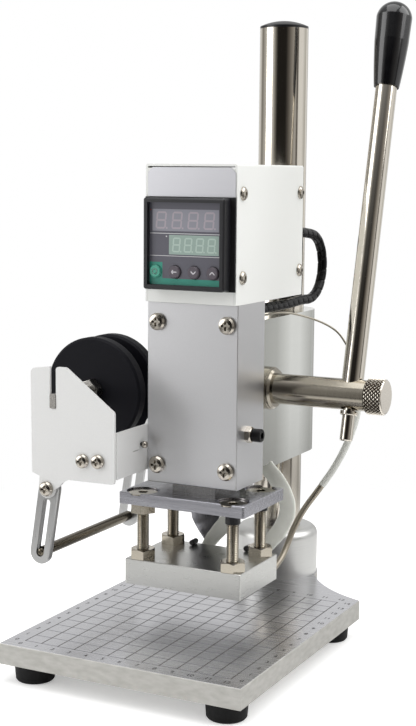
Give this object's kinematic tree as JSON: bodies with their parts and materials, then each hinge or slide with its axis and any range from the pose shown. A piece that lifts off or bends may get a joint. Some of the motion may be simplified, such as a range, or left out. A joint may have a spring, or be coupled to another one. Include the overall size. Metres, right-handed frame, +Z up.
{
  "type": "hot stamping machine",
  "caption": "Bench-top hot stamping machine: gridded base, column, sliding head with temperature controller, side lever, heated block and foil unit.",
  "frame": {"origin": "on the table top, straight below the stamping axis", "axes": "+Z up, +X to the machine's right as seen from the front, +Y to the back"},
  "size_m": [0.1909, 0.2232, 0.3611],
  "materials": {
    "brushed_aluminium": "brushed, anodised",
    "bright_steel": "polished nickel plate",
    "plain_steel": "turned",
    "white_paint": "powder coat, satin",
    "silver_plate": "fine satin",
    "black_plastic": "moulded, satin",
    "grip_plastic": "polished",
    "bezel_plastic": "moulded, satin",
    "window": "clear over a printed face",
    "key_plastic": "moulded",
    "green_key": "moulded",
    "black_rubber": "matt",
    "brass": "plain",
    "black_steel": "black oxide",
    "sleeve_fabric": "woven glass-fibre sleeve",
    "lead_sleeve": "coated sleeve and braid",
    "dark_sleeve": "coated cloth",
    "wrap_plastic": "wound strip"
  },
  "bodies": {
    "base": {"base_plate": "brushed_aluminium", "rubber_feet": "black_rubber", "feet_screws": "plain_steel", "collar": "brushed_aluminium", "collar_screws": "black_steel"},
    "column": {"column": "bright_steel", "column_cap": "black_plastic"},
    "head": {"head_body": "brushed_aluminium", "cover_plate": "brushed_aluminium", "cover_screws": "bright_steel", "clamp_pads": "brass", "clamp_screws": "black_steel", "bearing_bush": "bright_steel", "bearing_cap": "brushed_aluminium", "cap_screws": "plain_steel", "brake_lock_nut": "bright_steel", "box_cover": "white_paint", "box_chassis": "white_paint", "box_screws": "bright_steel", "box_plate": "silver_plate", "controller_gasket": "black_plastic", "controller_body": "bezel_plastic", "controller_window": "window", "switch_frame": "black_plastic", "mains_inlet": "black_plastic", "grommet": "black_rubber", "cable_bundle": "wrap_plastic", "probe_wire": "lead_sleeve", "probe_lead": "lead_sleeve", "sleeve_right": "sleeve_fabric", "sleeve_left": "sleeve_fabric", "dark_strap": "dark_sleeve", "foil_plates": "white_paint", "foil_web": "white_paint", "foil_screws": "bright_steel"},
    "lever": {"pinion_shaft": "bright_steel", "lever_rod": "bright_steel", "lever_nut": "bright_steel", "lever_grip": "grip_plastic"},
    "knob": {"shaft_knob": "bright_steel"},
    "brake": {"brake_screw": "black_steel"},
    "ram": {"ram": "plain_steel", "top_plate": "brushed_aluminium", "ram_screws": "black_steel", "plate_bolts": "bright_steel", "upper_nuts": "bright_steel", "lower_nuts": "bright_steel", "heated_block": "brushed_aluminium", "heaters": "plain_steel", "probe": "plain_steel"},
    "axle": {"foil_axle": "bright_steel"},
    "disc_front": {"disc_front": "black_rubber"},
    "disc_rear": {"disc_rear": "black_rubber"},
    "links": {"links": "brushed_aluminium"},
    "rod": {"guide_rod": "bright_steel"},
    "key_set": {"key_set": "green_key"},
    "key_shift": {"key_shift": "key_plastic"},
    "key_down": {"key_down": "key_plastic"},
    "key_up": {"key_up": "key_plastic"},
    "rocker": {"rocker": "black_plastic"}
  },
  "joints": [
    {"name": "column_swivel", "type": "hinge", "parent": "base", "child": "column", "pos_m": [0, 0.1024, 0], "axis": [0, 0, 1], "continuous": true},
    {"name": "head_slide", "type": "slide", "parent": "column", "child": "head", "axis": [0, 0, 1], "range_m": [0, 0.15]},
    {"name": "lever_turn", "type": "hinge", "parent": "head", "child": "lever", "pos_m": [0, 0.0334, 0.125], "axis": [1, 0, 0], "range_deg": [0, 76]},
    {"name": "ram_slide", "type": "slide", "parent": "head", "child": "ram", "axis": [0, 0, -1], "range_m": [0, 0.018], "deforming": ["sleeve_right", "sleeve_left", "dark_strap", "probe_lead"]},
    {"name": "knob_turn", "type": "hinge", "parent": "lever", "child": "knob", "pos_m": [0.0833, 0.0334, 0.125], "axis": [1, 0, 0], "continuous": true},
    {"name": "brake_turn", "type": "hinge", "parent": "head", "child": "brake", "pos_m": [0.031, 0, 0.1041], "axis": [1, 0, 0], "continuous": true},
    {"name": "axle_lift", "type": "slide", "parent": "head", "child": "axle", "axis": [0, 0, 1], "range_m": [0, 0.055]},
    {"name": "disc_front_spin", "type": "hinge", "parent": "axle", "child": "disc_front", "pos_m": [-0.06635, -0.0031, 0.1214], "axis": [0, 1, 0], "continuous": true},
    {"name": "disc_rear_spin", "type": "hinge", "parent": "axle", "child": "disc_rear", "pos_m": [-0.06635, 0.0153, 0.1214], "axis": [0, 1, 0], "continuous": true},
    {"name": "link_swing", "type": "hinge", "parent": "head", "child": "links", "pos_m": [-0.07065, 0, 0.0728], "axis": [0, 1, 0], "range_deg": [-50, 60]},
    {"name": "rod_slide", "type": "slide", "parent": "links", "child": "rod", "axis": [0.1599, 0, 0.9871], "range_m": [0, 0.024]},
    {"name": "key_set_press", "type": "slide", "parent": "head", "child": "key_set", "axis": [0, 1, 0], "range_m": [0, 0.0008], "stiffness_N_per_m": 400, "springref_m": -0.0005},
    {"name": "key_shift_press", "type": "slide", "parent": "head", "child": "key_shift", "axis": [0, 1, 0], "range_m": [0, 0.0008], "stiffness_N_per_m": 400, "springref_m": -0.0005},
    {"name": "key_down_press", "type": "slide", "parent": "head", "child": "key_down", "axis": [0, 1, 0], "range_m": [0, 0.0008], "stiffness_N_per_m": 400, "springref_m": -0.0005},
    {"name": "key_up_press", "type": "slide", "parent": "head", "child": "key_up", "axis": [0, 1, 0], "range_m": [0, 0.0008], "stiffness_N_per_m": 400, "springref_m": -0.0005},
    {"name": "rocker_tilt", "type": "hinge", "parent": "head", "child": "rocker", "pos_m": [0, 0.0696, 0.232], "axis": [1, 0, 0], "range_deg": [0, 16]}
  ],
  "couplings": [
    {"joint": "ram_slide", "follows": "lever_turn", "m_per_rad": 0.0135}
  ]
}
